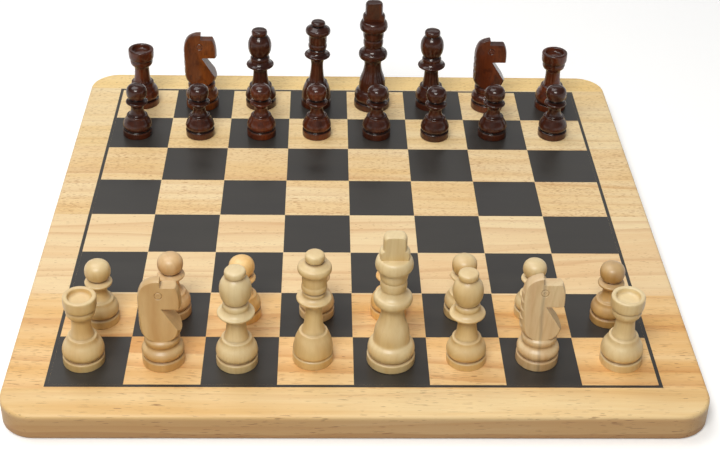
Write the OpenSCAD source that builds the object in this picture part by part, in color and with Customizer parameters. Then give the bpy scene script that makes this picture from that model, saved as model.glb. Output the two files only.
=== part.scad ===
// Wooden chess set, standing ready for a game.
// A solid board is glued up from pine strips and carries a printed field of 64 squares.
// Thirty-two turned chessmen stand on it, each one a separate piece that lifts straight off.
// Millimetres. X runs along the ranks, Y from the light player's side to the dark one's, Z up.
// The origin is the middle of the board's underside.

/* [Board] */
// side of one square of the field
square_w = 38; // [34:0.5:44]
// plain wood from the field's edge to the board's edge
margin_w = 23; // [19:0.5:32]
// thickness of the board
board_t = 15; // [10:0.5:22]
// radius of the board's four corners, seen from above
corner_r = 18; // [8:1:26]
// rounding of the board's top and bottom edges
edge_r = 3.2; // [1.5:0.1:4.5]
// sideways place of the printed field from the middle of the board
field_x = -1.5; // [-3:0.25:3]
// how much wider than two squares each inner strip of wood is
strip_extra_w = 1.3; // [0:0.1:2]

/* [Print] */
// width of the black line around the field
line_w = 1.9; // [1:0.1:4]
// how far the line runs in over the field's edge
line_in = 0.4; // [0:0.05:1]
// sideways place of the line from the middle of the field
line_x = 0.75; // [-1.5:0.25:1.5]
// depth of the black print let into the wood
print_t = 0.3; // [0.2:0.05:0.6]
// bare wood left between two pieces of print
print_gap = 0.1; // [0.05:0.05:0.4]

/* [Kings] */
// diameter of the base
king_d = 24.6; // [21:0.2:28]
// height to the top of the crown
king_h = 77.4; // [68:0.2:88]
// thickness of the flat crown
crown_t = 6.8; // [4.5:0.1:9]

/* [Queens] */
// diameter of the base
queen_d = 20.6; // [18:0.2:25]
// height to the top of the ball
queen_h = 65.2; // [56:0.2:72]

/* [Bishops] */
// diameter of the base
bishop_d = 21; // [18:0.2:25]
// height to the top of the knob
bishop_h = 57.2; // [48:0.2:64]

/* [Knights] */
// diameter of the base
knight_d = 21.2; // [18:0.2:25]
// height to the top of the crest
knight_h = 50; // [44:0.5:58]
// thickness of the head at the top of the muzzle
head_t = 6.2; // [4.5:0.1:8]
// lean of each side face, so that the neck is thicker than the head
face_lean = 7.5; // [4:0.5:9]
// diameter of the ring cut for the eye
eye_d = 3.6; // [2.4:0.1:4.4]
// width and depth of the cut lines of the eye and the mane
cut_w = 0.6; // [0.3:0.05:0.9]

/* [Rooks] */
// diameter of the base
rook_d = 21.4; // [18:0.2:25]
// height to the rim
rook_h = 41.4; // [36:0.5:50]

/* [Pawns] */
// diameter of the base
pawn_d = 18.8; // [16:0.2:23]
// height to the top of the ball
pawn_h = 36.4; // [31:0.2:42]

/* [Hidden] */
ranks = 8;
field_w = ranks * square_w;
board_w = field_w + 2 * margin_w;
strip_w = 2 * square_w + strip_extra_w;
inner_strips = 4;
strips_w = inner_strips * strip_w;
outer_strip_w = (board_w - strips_w) / 2;
line_open_w = field_w - 2 * line_in;
round_fn = 64;
over = 1;

pine = "#e8c88f";
black = "#2b2928";
maple = "#e6d3ab";
stain = "#4a2412";

// Curves for outlines: each gives the points after p, up to and with q.
// curve() bends from p to q and is pulled towards c.
function curve(p, c, q, n = 6) = [
  for (i = [1:n]) let (t = i / n) p * (1 - t) * (1 - t) + c * 2 * t * (1 - t) + q * t * t
];
// bead() swells outwards by out between p and q.
function bead(p, q, out, n = 8) = [
  for (i = [1:n]) let (a = 180 * i / n) p + (q - p) * (1 - cos(a)) / 2 + [out * sin(a), 0]
];

// Outlines of the turned pieces, as [radius, height] from the axis up the right-hand side.
// turned() fits an outline to its piece's base diameter and height.

// the disc that every piece stands on, with a groove cut above it
function foot(r, t, cut) = concat(
  [[0, 0], [r - 0.5, 0]],
  curve([r - 0.5, 0], [r, 0], [r, 0.5], 3),
  [[r, t - 1.4]],
  curve([r, t - 1.4], [r, t - 0.3], [r - cut, t], 3)
);

function pawn_line() = concat(
  foot(9.4, 5.1, 1),
  curve([8.4, 5.1], [9.4, 5.5], [9.4, 7.3], 4),
  curve([9.4, 7.3], [9.3, 9.6], [8.2, 11.3], 4),
  curve([8.2, 11.3], [7.4, 12.2], [7.2, 13.2], 4),
  curve([7.2, 13.2], [7.2, 14], [6.6, 14.1], 3),
  [[5.6, 14.2]],
  curve([5.6, 14.2], [4.1, 15.9], [4, 19.6]),
  curve([4, 19.6], [4.2, 22.4], [6.3, 23.2]),
  bead([6.3, 23.2], [6.2, 24.9], 0.8),
  curve([6.2, 24.9], [4.6, 25.4], [3.9, 26.4], 4),
  curve([3.9, 26.4], [6.6, 27], [6.6, 31]),
  curve([6.6, 31], [6.6, 36.4], [0, 36.4], 8)
);

function rook_line() = concat(
  foot(10.7, 5.2, 1.1),
  curve([9.6, 5.2], [10.7, 5.6], [10.8, 7.7], 4),
  curve([10.8, 7.7], [10.7, 11], [9, 13.4], 4),
  curve([9, 13.4], [7.9, 14.6], [7.6, 16.3], 4),
  curve([7.6, 16.3], [7.6, 17.3], [6.9, 17.4], 3),
  [[6.2, 17.5]],
  curve([6.2, 17.5], [4.9, 20.4], [4.9, 27.4]),
  curve([4.9, 27.4], [5.1, 29.4], [6.6, 30.2], 4),
  curve([6.6, 30.2], [7.5, 31], [7.6, 33.2], 4),
  [[7.3, 34.6], [8.1, 35.2]],
  curve([8.1, 35.2], [8.5, 36.2], [8.5, 38]),
  [[8.5, 40.8]],
  curve([8.5, 40.8], [8.5, 42], [7.4, 42], 4),
  curve([7.4, 42], [6.4, 42], [6.1, 41.6], 3),
  curve([6.1, 41.6], [5.4, 38.6], [0, 38.2])
);

function bishop_line() = concat(
  foot(10.8, 5.1, 1.1),
  curve([9.7, 5.1], [10.8, 5.5], [10.9, 7.5], 4),
  curve([10.9, 7.5], [10.8, 10.4], [9.4, 12.3], 4),
  curve([9.4, 12.3], [8.3, 13.6], [8, 15], 4),
  curve([8, 15], [8.1, 16], [7.4, 16.2], 3),
  [[6.5, 16.3]],
  curve([6.5, 16.3], [5.1, 20], [4.9, 27]),
  curve([4.9, 27], [5.2, 29.6], [8.6, 30.5]),
  bead([8.6, 30.5], [8.8, 32.3], 1),
  curve([8.8, 32.3], [7.3, 32.8], [6.6, 34.8], 4),
  bead([6.6, 34.8], [6.3, 37.4], 0.4, 4),
  [[5.6, 38.2]],
  curve([5.6, 38.2], [8.2, 40.8], [8.2, 46]),
  curve([8.2, 46], [8.2, 50.6], [4.9, 53.4]),
  curve([4.9, 53.4], [5.4, 53.8], [5.4, 55], 4),
  curve([5.4, 55], [5.4, 57], [3, 57.4], 5),
  curve([3, 57.4], [1.5, 57.6], [0, 57.6], 3)
);

// low takes the ball down by that much
queen_top = 65.2;
function queen_line(low = 0) = concat(
  foot(10.3, 5.2, 0.5),
  curve([9.8, 5.2], [10.2, 5.4], [10.2, 6.6], 3),
  curve([10.2, 6.6], [9.6, 13.4], [7.4, 17.4]),
  curve([7.4, 17.4], [7.3, 18.4], [6.8, 18.5], 3),
  [[6, 18.6]],
  curve([6, 18.6], [4.4, 22], [4.1, 31]),
  curve([4.1, 31], [4.2, 36.8], [7.4, 37.6]),
  bead([7.4, 37.6], [7.4, 39.6], 1.4),
  curve([7.4, 39.6], [6.2, 40], [5.6, 41.2], 4),
  bead([5.6, 41.2], [5.4, 43], 0.4, 4),
  [[5.2, 43.4], [6, 43.9]],
  bead([6, 43.9], [6, 47], 0.35, 4),
  [[5.9, 47.3]],
  curve([5.9, 47.3], [6.2, 48.2], [6.1, 51], 4),
  curve([6.1, 51], [6.2, 53.6], [7.5, 54.6]),
  bead([7.5, 54.6], [7.3, 58.4], 1),
  [[6.9, 58.6]],
  curve([6.9, 58.6], [5.6, 59.8], [3.8, 60.4], 4),
  curve([3.8, 60.4], [4.8, 60.9], [4.8, 62.4 - low / 2], 4),
  curve([4.8, 62.4 - low / 2], [4.7, queen_top - 0.3 - low], [2.4, queen_top - 0.2 - low]),
  curve([2.4, queen_top - 0.2 - low], [1.2, queen_top - low], [0, queen_top - low], 3)
);

function king_line() = concat(
  foot(12.3, 5.2, 1.1),
  curve([11.2, 5.2], [12, 5.7], [12, 7.8], 4),
  curve([12, 7.8], [12, 11.8], [9.8, 13]),
  curve([9.8, 13], [9, 13.6], [9.1, 15.2], 4),
  curve([9.1, 15.2], [9.2, 19.8], [7.4, 24]),
  curve([7.4, 24], [6, 27.6], [5.7, 32]),
  curve([5.7, 32], [5.8, 35.4], [8, 36.6]),
  bead([8, 36.6], [8.3, 41.8], 1.6),
  curve([8.3, 41.8], [7, 42.6], [6.3, 44.6], 4),
  [[6, 45.4]],
  bead([6, 45.4], [6.2, 50.9], 0.6, 6),
  curve([6.2, 50.9], [7.1, 51.8], [7, 55.6], 4),
  curve([7, 55.6], [7.3, 57], [8.2, 57.6]),
  bead([8.2, 57.6], [7.5, 64.2], 1.5, 10),
  [[7.5, 67.2]],
  curve([7.5, 67.2], [7.5, 68.8], [5.9, 69.2], 4),
  curve([5.9, 69.2], [5.8, 70.6], [5.8, 75], 3),
  curve([5.8, 75], [5.8, 77.4], [3.6, 77.4], 4),
  [[0, 77.4]]
);

// the height where the rim of the king's bowl ends and the crown starts, as a share of the height
crown_share = 64.2 / 77.4;

function knight_line() = concat(
  foot(10.6, 5.4, 1),
  curve([9.6, 5.4], [10.6, 5.8], [10.6, 7.6], 4),
  curve([10.6, 7.6], [10.6, 10], [9, 10.8]),
  curve([9, 10.8], [8, 11.4], [8.1, 12.8], 4),
  bead([8.1, 12.8], [8.1, 16.2], 0.8),
  [[7.7, 16.8]],
  curve([7.7, 16.8], [10.4, 18.8], [10.6, 23.4]),
  [[10.6, 37]],
  curve([10.6, 37], [10.6, 45.4], [7.2, 47.8]),
  curve([7.2, 47.8], [4, 50], [0, 50])
);

// Where the knight is sawn and cut, as shares of its height or of its base radius.
muzzle_top = 46.5 / 50;
jaw = 34.8 / 50;
chest = 20.4 / 50;
face_foot = 16.8 / 50;
eye_up = 42.2 / 50;
throat_out = 0.1;
long_brow = 0.08;
short_brow = -0.08;
mane_low = 23 / 50;
mane_high = 42 / 50;
mane_cuts = 5;
mane_cut_w = 1.6;

module turned(line, d, h) {
  kr = d / 2 / max([for (p = line) p[0]]);
  kz = h / max([for (p = line) p[1]]);
  rotate_extrude($fn = round_fn)
    polygon([for (p = line) [p[0] * kr, p[1] * kz]]);
}

module pawn() {
  turned(pawn_line(), pawn_d, pawn_h);
}

module rook() {
  turned(rook_line(), rook_d, rook_h);
}

module bishop() {
  turned(bishop_line(), bishop_d, bishop_h);
}

module queen(low = 0) {
  turned(queen_line(low), queen_d, queen_h * (1 - low / queen_top));
}

// The crown is turned with the rest and then milled flat in front and behind, down to the rim.
module king() {
  difference() {
    turned(king_line(), king_d, king_h);
    for (side = [0, 180])
      rotate([0, 0, side])
        translate([-king_d / 2, crown_t / 2, king_h * crown_share])
          cube([king_d, king_d, king_h]);
  }
}

// What the saw takes from one side of the knight's head, from the groove above the ring upwards.
module face_cut(h) {
  intersection() {
    translate([0, -head_t / 2, h * muzzle_top])
      rotate([-face_lean, 0, 0])
        translate([-knight_d, -knight_d, -2 * h])
          cube([2 * knight_d, knight_d, 3 * h]);
    translate([-knight_d, -knight_d, h * face_foot])
      cube([2 * knight_d, knight_d, h]);
  }
}

// The eye: a ring cut into the side face.
module eye_cut(h) {
  translate([0, -head_t / 2, h * muzzle_top])
    rotate([-face_lean, 0, 0])
      translate([0, 0, h * (eye_up - muzzle_top)])
        rotate([90, 0, 0])
          difference() {
            translate([0, 0, -cut_w])
              cylinder(d = eye_d + cut_w, h = 2 * cut_w, $fn = round_fn);
            translate([0, 0, -cut_w - over])
              cylinder(d = eye_d - cut_w, h = 2 * cut_w + 2 * over, $fn = round_fn);
          }
}

// The open wedge between the jaw and the chest, and the step from the crest down to the muzzle.
module head_cuts(h, brow) {
  reach = knight_d;
  throat_x = knight_d / 2 * throat_out;
  chest_x = knight_d / 2;
  rotate([90, 0, 0])
    linear_extrude(height = 2 * reach, center = true) {
      polygon([
        [throat_x, h * jaw],
        [chest_x, h * chest],
        [reach, h * chest],
        [reach, h * jaw]
      ]);
      translate([knight_d / 2 * brow, h * muzzle_top])
        square([reach, h]);
    }
}

// Slanting notches across the back of the neck.
module mane_cuts(h) {
  for (i = [0:mane_cuts - 1])
    translate([-knight_d / 2, 0, h * (mane_low + (mane_high - mane_low) * i / (mane_cuts - 1))])
      rotate([0, 35, 0])
        cube([mane_cut_w, knight_d, mane_cut_w], center = true);
}

module knight(h, brow) {
  difference() {
    turned(knight_line(), knight_d, h);
    face_cut(h);
    mirror([0, 1, 0]) face_cut(h);
    eye_cut(h);
    mirror([0, 1, 0]) eye_cut(h);
    head_cuts(h, brow);
    mane_cuts(h);
  }
}

// The middle of a square: file and rank run from 0 to 7.
function square_at(file, rank) = [
  field_x + (file - (ranks - 1) / 2) * square_w,
  (rank - (ranks - 1) / 2) * square_w,
  board_t
];

// The pieces were set down by hand, and hand-turned pieces differ a little. From file a to h:
// sideways and forward place from the middle of the square, in hundredths of a square,
// size in hundredths of the drawing, and sideways lean in degrees, from a foot that isn't sanded square.
light_back_at = [
  [-7.5, 1, 99, 1.8],
  [-2, 2, 101, 0],
  [-4.5, -1, 101, 0.6],
  [-4, 6, 100.5, 0.9],
  [0, 3.5, 99.5, 0],
  [1, 4.5, 97, -2],
  [-4, 5.5, 101.5, 0],
  [9, 3, 100.5, -1.3]
];
light_pawn_at = [
  [3.5, -10.5, 101.5, 0.9],
  [1, 5.5, 102, 0],
  [-1.5, -0.5, 101.5, 0],
  [0.5, 5, 98.5, 0],
  [0.5, 5.5, 101.5, 0],
  [3, 7.5, 100, 0],
  [0, 6, 94, 0],
  [6.5, -5.5, 98.5, -1.2]
];
dark_pawn_at = [
  [-5, -2, 98.5, 2.4],
  [1, -3, 97.5, 0],
  [4, -1.5, 98, 0],
  [-2.5, -1, 98, 0],
  [-1.5, -1.5, 97, 0],
  [-3, -4, 97, 0],
  [-4.5, 0.5, 97.5, 0],
  [-1.5, 2, 98, 0]
];
dark_back_at = [
  [-7, 5.5, 97, 1.3],
  [-3, 0, 101, 0],
  [-1, 2, 96, 0],
  [-4.5, 5, 96, 1.3],
  [-6.5, 3, 96.5, 0],
  [-3, 5, 96.5, -1],
  [-4, 0, 100, 0],
  [9, 3, 98, -0.8]
];
// how much lower the ball of the dark queen is turned
low_ball = 1.5;
// one knight of each colour came out taller
tall_knight_h = 1.03 * knight_h;

// A leaning piece is let down by what its foot lifts on one side, and cut flat at the board.
foot_reach = king_d / 2;
module stand(file, rank, at) {
  lean = at[3];
  translate(square_at(file, rank) + [at[0], at[1], 0] * square_w / 100)
    if (lean == 0)
      scale(at[2] / 100)
        children();
    else
      difference() {
        translate([0, 0, -foot_reach * sin(abs(lean))])
          rotate([0, lean, 0])
            scale(at[2] / 100)
              children();
        translate([-foot_reach, -foot_reach, -2 * foot_reach] * 2)
          cube(4 * foot_reach);
      }
}

module light_back(i) color(maple) stand(i, 0, light_back_at[i]) children();
module light_row(i) color(maple) stand(i, 1, light_pawn_at[i]) children();
module dark_row(i) color(stain) stand(i, 6, dark_pawn_at[i]) children();
module dark_back(i) color(stain) stand(i, 7, dark_back_at[i]) children();

// The cross-section of the board through its rounded long edges.
module board_section(w) {
  translate([-w / 2 + edge_r, 0])
    square([w - 2 * edge_r, board_t]);
  translate([-w / 2, edge_r])
    square([w, board_t - 2 * edge_r]);
  for (x = [-w / 2 + edge_r, w / 2 - edge_r], y = [edge_r, board_t - edge_r])
    translate([x, y])
      circle(r = edge_r, $fn = round_fn);
}

module board_blank() {
  straight_w = board_w - 2 * corner_r;
  rotate([90, 0, 0])
    linear_extrude(height = straight_w, center = true)
      board_section(board_w);
  rotate([90, 0, 90])
    linear_extrude(height = straight_w, center = true)
      board_section(board_w);
  for (x = [-1, 1], y = [-1, 1])
    translate([x * straight_w / 2, y * straight_w / 2, 0])
      rotate_extrude($fn = round_fn)
        intersection() {
          board_section(2 * corner_r);
          square([corner_r, board_t]);
        }
}

// A square plate of print around the middle of the border line, from the print's underside up.
module line_plate(w, t) {
  translate([field_x + line_x - w / 2, -w / 2, board_t - print_t])
    cube([w, w, t]);
}

// The print: black squares, starting with the one at the light player's left hand, and the line.
// The line was printed first, so the outer squares end short of it.
module dark_square_prisms(t) {
  print_w = square_w - print_gap;
  intersection() {
    line_plate(line_open_w - 2 * print_gap, t);
    for (file = [0:ranks - 1], rank = [0:ranks - 1])
      if ((file + rank) % 2 == 0)
        translate(square_at(file, rank) - [print_w / 2, print_w / 2, print_t])
          cube([print_w, print_w, t]);
  }
}

module border_ring(t) {
  difference() {
    line_plate(line_open_w + 2 * line_w, t);
    translate([0, 0, -over])
      line_plate(line_open_w, t + 2 * over);
  }
}

// One glued strip of the board, between two distances from the middle, with the print's recesses.
module strip(y0, y1) {
  color(pine)
    difference() {
      intersection() {
        board_blank();
        translate([-board_w / 2 - over, y0, -over])
          cube([board_w + 2 * over, y1 - y0, board_t + 2 * over]);
      }
      dark_square_prisms(print_t + over);
      border_ring(print_t + over);
    }
}

module strip_front() strip(-board_w / 2, -strips_w / 2);
module strip_1() strip(-strips_w / 2, -strip_w);
module strip_2() strip(-strip_w, 0);
module strip_3() strip(0, strip_w);
module strip_4() strip(strip_w, strips_w / 2);
module strip_back() strip(strips_w / 2, board_w / 2);
module dark_squares() color(black) dark_square_prisms(print_t);
module border_line() color(black) border_ring(print_t);

module light_rook_a() light_back(0) rook();
module light_knight_b() light_back(1) knight(knight_h, long_brow);
module light_bishop_c() light_back(2) bishop();
module light_queen() light_back(3) queen();
module light_king() light_back(4) king();
module light_bishop_f() light_back(5) bishop();
module light_knight_g() light_back(6) knight(tall_knight_h, short_brow);
module light_rook_h() light_back(7) rook();
module light_pawn_a() light_row(0) pawn();
module light_pawn_b() light_row(1) pawn();
module light_pawn_c() light_row(2) pawn();
module light_pawn_d() light_row(3) pawn();
module light_pawn_e() light_row(4) pawn();
module light_pawn_f() light_row(5) pawn();
module light_pawn_g() light_row(6) pawn();
module light_pawn_h() light_row(7) pawn();
module dark_pawn_a() dark_row(0) pawn();
module dark_pawn_b() dark_row(1) pawn();
module dark_pawn_c() dark_row(2) pawn();
module dark_pawn_d() dark_row(3) pawn();
module dark_pawn_e() dark_row(4) pawn();
module dark_pawn_f() dark_row(5) pawn();
module dark_pawn_g() dark_row(6) pawn();
module dark_pawn_h() dark_row(7) pawn();
module dark_rook_a() dark_back(0) rook();
module dark_knight_b() dark_back(1) knight(tall_knight_h, long_brow);
module dark_bishop_c() dark_back(2) bishop();
module dark_queen() dark_back(3) queen(low_ball);
module dark_king() dark_back(4) king();
module dark_bishop_f() dark_back(5) bishop();
module dark_knight_g() dark_back(6) knight(knight_h, short_brow);
module dark_rook_h() dark_back(7) rook();

strip_front();
strip_1();
strip_2();
strip_3();
strip_4();
strip_back();
dark_squares();
border_line();
light_rook_a();
light_knight_b();
light_bishop_c();
light_queen();
light_king();
light_bishop_f();
light_knight_g();
light_rook_h();
light_pawn_a();
light_pawn_b();
light_pawn_c();
light_pawn_d();
light_pawn_e();
light_pawn_f();
light_pawn_g();
light_pawn_h();
dark_pawn_a();
dark_pawn_b();
dark_pawn_c();
dark_pawn_d();
dark_pawn_e();
dark_pawn_f();
dark_pawn_g();
dark_pawn_h();
dark_rook_a();
dark_knight_b();
dark_bishop_c();
dark_queen();
dark_king();
dark_bishop_f();
dark_knight_g();
dark_rook_h();
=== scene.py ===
import math

import bmesh
import bpy
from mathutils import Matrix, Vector


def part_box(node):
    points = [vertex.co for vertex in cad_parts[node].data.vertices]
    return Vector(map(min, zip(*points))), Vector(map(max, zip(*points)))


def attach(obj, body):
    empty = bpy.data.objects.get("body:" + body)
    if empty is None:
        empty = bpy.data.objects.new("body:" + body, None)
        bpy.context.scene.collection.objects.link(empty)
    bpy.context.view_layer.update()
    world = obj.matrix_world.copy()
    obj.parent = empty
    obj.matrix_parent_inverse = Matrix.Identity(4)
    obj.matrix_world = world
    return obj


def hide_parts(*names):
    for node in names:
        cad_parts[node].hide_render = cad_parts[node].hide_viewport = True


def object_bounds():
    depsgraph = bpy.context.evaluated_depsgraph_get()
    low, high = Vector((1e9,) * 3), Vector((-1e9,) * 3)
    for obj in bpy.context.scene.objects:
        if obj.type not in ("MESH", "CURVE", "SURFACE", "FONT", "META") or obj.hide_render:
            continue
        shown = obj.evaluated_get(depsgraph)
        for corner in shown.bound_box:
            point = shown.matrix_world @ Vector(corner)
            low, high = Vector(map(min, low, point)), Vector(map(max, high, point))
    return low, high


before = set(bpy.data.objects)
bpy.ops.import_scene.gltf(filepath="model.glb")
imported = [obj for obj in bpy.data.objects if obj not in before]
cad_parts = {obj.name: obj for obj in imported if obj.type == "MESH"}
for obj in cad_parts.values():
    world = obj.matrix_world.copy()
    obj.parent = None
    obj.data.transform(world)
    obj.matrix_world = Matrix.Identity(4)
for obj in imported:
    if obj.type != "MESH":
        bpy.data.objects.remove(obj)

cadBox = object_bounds()
mm = 0.001
print("frame loaded:", len(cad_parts), "nodes")


# ---- camera and light

view = {
    "place": (-0.017359, -0.666436, 0.459109),
    "turn": (55.903, -1.119, -1.1396),  # degrees
    "lens": 68.08,
    "sensor": 36,
}

camera = bpy.data.objects.new("camera", bpy.data.cameras.new("camera"))
bpy.context.collection.objects.link(camera)
camera.location = view["place"]
camera.rotation_euler = [math.radians(a) for a in view["turn"]]
camera.data.lens = view["lens"]
camera.data.sensor_width = view["sensor"]
camera.data.clip_start = 0.01
camera.data.clip_end = 20
bpy.context.scene.camera = camera
bpy.context.scene.view_settings.view_transform = "Standard"


def paint(code):  # sRGB hex to linear
    parts = [int(code[i:i + 2], 16) / 255 for i in (1, 3, 5)]
    return tuple(p / 12.92 if p <= 0.04045 else ((p + 0.055) / 1.055) ** 2.4 for p in parts) + (1,)


def add(tree, kind, links=None, stops=None, **settings):  # one node, its settings and what feeds it
    node = tree.nodes.new(kind)
    for key, value in settings.items():
        setattr(node, key, value)
    for key, value in (links or {}).items():
        socket = node.inputs[key]
        if isinstance(value, bpy.types.NodeSocket):
            tree.links.new(value, socket)
        else:
            socket.default_value = value
    if stops:
        ramp = node.color_ramp.elements
        while len(ramp) < len(stops):
            ramp.new(1)
        for stop, (place, colour) in zip(ramp, stops):
            stop.position = place
            stop.color = colour if not isinstance(colour, (int, float)) else (colour,) * 3 + (1,)
    return node


def mixed(tree, share, a, b):  # b laid over a by its share
    return add(tree, "ShaderNodeMix", {0: share, 6: a, 7: b}, data_type="RGBA").outputs[2]


def figure(tree, operation, *values):  # arithmetic on plain numbers
    return add(tree, "ShaderNodeMath", dict(enumerate(values)), operation=operation).outputs[0]


def spread(tree, coords, scale, detail=2, rough=0.5):  # noise stretched by a scale per metre on each axis
    stretched = add(tree, "ShaderNodeMapping", {"Vector": coords, "Scale": scale}).outputs[0]
    return add(tree, "ShaderNodeTexNoise", {
        "Vector": stretched, "Scale": 1, "Detail": detail, "Roughness": rough,
    })


def ramp(tree, value, low, high, first=0, last=1):
    return add(tree, "ShaderNodeMapRange", {
        "Value": value, "From Min": low, "From Max": high, "To Min": first, "To Max": last,
    }).outputs[0]


def blankMaterial(name):
    material = bpy.data.materials.new(name)
    material.use_nodes = True
    material.node_tree.nodes.clear()
    return material, material.node_tree


def surface(tree, shader):
    add(tree, "ShaderNodeOutputMaterial", {"Surface": shader.outputs[0]})


def laid(tree, mask, strength, under, code):  # a colour laid over another where the mask is, so strongly
    return mixed(tree, figure(tree, "MULTIPLY", mask, strength), under, paint(code))


def bumped(tree, height, strength, deep, **below):
    return add(tree, "ShaderNodeBump", {
        "Strength": strength, "Distance": deep, "Height": height, **below,
    }).outputs[0]


# name: place, aims at, width, height, watts, colour
lamps = {
    "softbox over the camera": ((-0.3, -1.0, 1.35), (0, 0, 0.02), 0.75, 0.55, 19, "#fffdf8"),
    "big soft top": ((-0.45, 0.4, 1.6), (0, 0.05, 0), 1.2, 1.0, 12.5, "#ffffff"),
    "backdrop glow": ((0.1, 1.9, 1.25), (0, 0, 0.1), 2.4, 0.4, 3, "#ffffff"),
}

for name, (place, aim, wide, high, power, colour) in lamps.items():
    data = bpy.data.lights.new(name, "AREA")
    data.shape = "RECTANGLE"
    data.size = wide
    data.size_y = high
    data.energy = power
    data.color = paint(colour)[:3]
    lamp = bpy.data.objects.new(name, data)
    bpy.context.collection.objects.link(lamp)
    lamp.location = place
    lamp.rotation_euler = (Vector(aim) - Vector(place)).to_track_quat("-Z", "Y").to_euler()

studio = {
    "fill": 0.15,  # what the surroundings give as light
    "horizon": (0.3, 0.12),  # the gloss sees white below, and the fill above
    "floorAcross": 8,
    "seen": "#ffffff",  # the floor for the camera and the gloss
    "thrown": "#a8a6a2",  # and for the light it throws back
    "glow": 0.12,
}

world = bpy.data.worlds.new("plain studio")
bpy.context.scene.world = world
world.use_nodes = True
tree = world.node_tree
tree.nodes.clear()
ray = add(tree, "ShaderNodeLightPath")
# white behind everything for the camera, a low even fill as light, and in the gloss a white horizon
around = add(tree, "ShaderNodeTexCoord").outputs["Generated"]
up = add(tree, "ShaderNodeSeparateXYZ", {0: around}).outputs["Z"]
horizon = figure(tree, "MULTIPLY", ramp(tree, up, *studio["horizon"]), ray.outputs["Is Glossy Ray"])
clear = figure(tree, "MAXIMUM", ray.outputs["Is Camera Ray"], ray.outputs["Is Transmission Ray"])
clear = figure(tree, "MAXIMUM", clear, horizon)
level = ramp(tree, clear, 0, 1, studio["fill"], 1)
sky = add(tree, "ShaderNodeBackground", {"Color": paint("#ffffff"), "Strength": level})
add(tree, "ShaderNodeOutputWorld", {"Surface": sky.outputs[0]})

# a plain white floor: the camera and the gloss see it white, and it throws a little less light back
bpy.ops.object.select_all(action="DESELECT")
bpy.ops.mesh.primitive_plane_add(size=studio["floorAcross"], location=(0, 0, 0))
floor = bpy.context.object
floor.name = "floor"
paperWhite, tree = blankMaterial("matt white paper floor")
ray = add(tree, "ShaderNodeLightPath")
seen = figure(tree, "MAXIMUM", ray.outputs["Is Camera Ray"], ray.outputs["Is Glossy Ray"])
tone = mixed(tree, seen, paint(studio["thrown"]), paint(studio["seen"]))
matt = add(tree, "ShaderNodeBsdfDiffuse", {"Color": tone})
glow = figure(tree, "MULTIPLY", ray.outputs["Is Camera Ray"], studio["glow"])
glow = add(tree, "ShaderNodeEmission", {"Strength": glow})
surface(tree, add(tree, "ShaderNodeAddShader", {0: matt.outputs[0], 1: glow.outputs[0]}))
floor.data.materials.append(paperWhite)
print("camera, lamps and floor ready")


# ---- helpers for shaping by hand

def freshSelection():
    if bpy.context.object and bpy.context.object.mode != "OBJECT":
        bpy.ops.object.mode_set(mode="OBJECT")
    bpy.ops.object.select_all(action="DESELECT")


def pick(piece):  # make it the only selected and active object
    freshSelection()
    piece.select_set(True)
    bpy.context.view_layer.objects.active = piece


def editing(piece, kind="VERT"):
    pick(piece)
    bpy.ops.object.mode_set(mode="EDIT")
    bpy.ops.mesh.select_mode(type=kind)
    bpy.ops.mesh.select_all(action="DESELECT")
    return bmesh.from_edit_mesh(piece.data)


def choose(piece, mesh, kind, test):  # select what passes the test
    for item in getattr(mesh, kind):
        item.select_set(bool(test(item)))
    mesh.select_flush_mode()
    bmesh.update_edit_mesh(piece.data)


def apply(piece, kind, **settings):
    pick(piece)
    modifier = piece.modifiers.new(kind.lower(), kind)
    for key, value in settings.items():
        setattr(modifier, key, value)
    bpy.ops.object.modifier_apply(modifier=modifier.name)


def bisected(piece, place, normal):  # sawn off square, on the side the normal points to
    editing(piece, "FACE")
    bpy.ops.mesh.select_all(action="SELECT")
    bpy.ops.mesh.bisect(plane_co=place, plane_no=normal, use_fill=True, clear_outer=True)
    bpy.ops.object.mode_set(mode="OBJECT")


def moved(piece, test, step):  # shifts the points that pass the test
    mesh = editing(piece)
    choose(piece, mesh, "verts", test)
    bpy.ops.transform.translate(value=step)
    bpy.ops.object.mode_set(mode="OBJECT")


def bevelled(piece, test, offset, segments):  # rounds the edges that pass the test
    mesh = editing(piece, "EDGE")
    choose(piece, mesh, "edges", test)
    bpy.ops.mesh.bevel(offset=offset, segments=segments, affect="EDGES")
    bpy.ops.object.mode_set(mode="OBJECT")


def rise(edge):  # how far one end stands above the other
    return abs(edge.verts[0].co.z - edge.verts[1].co.z)


def cutAway(piece, tools):  # sawn off with these shapes, which are then thrown away
    for tool in tools:
        apply(piece, "BOOLEAN", object=tool, operation="DIFFERENCE", solver="EXACT")
        bpy.data.objects.remove(tool)


def tidyMesh(piece):
    editing(piece)
    bpy.ops.mesh.select_all(action="SELECT")
    bpy.ops.mesh.remove_doubles(threshold=0.004 * mm)
    bpy.ops.mesh.normals_make_consistent(inside=False)
    bpy.ops.object.mode_set(mode="OBJECT")


def smooth(piece, angle):
    pick(piece)
    bpy.ops.object.shade_smooth_by_angle(angle=math.radians(angle))


def copyOf(piece, name):
    twin = piece.copy()
    twin.data = piece.data.copy()
    twin.name = name
    twin.data.name = name
    bpy.context.collection.objects.link(twin)
    return twin


# ---- the board: edge-glued strips, planed together and rounded over

board = {
    "corner": 18 * mm,
    "edge": 1.8 * mm,
    "seam": 0.13 * mm,  # softened edge of a glue line
    "gap": 0.015 * mm,  # left between the plates of print
    "near": 0.02 * mm,  # points this close to a side belong to it
    "skin": 0.05 * mm,
}

boardLow, boardHigh = cadBox[0].copy(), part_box("strip_back")[1]
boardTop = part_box("strip_front")[1].z
boardWide = boardHigh.x - boardLow.x
boardDeep = boardHigh.y - boardLow.y

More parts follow.
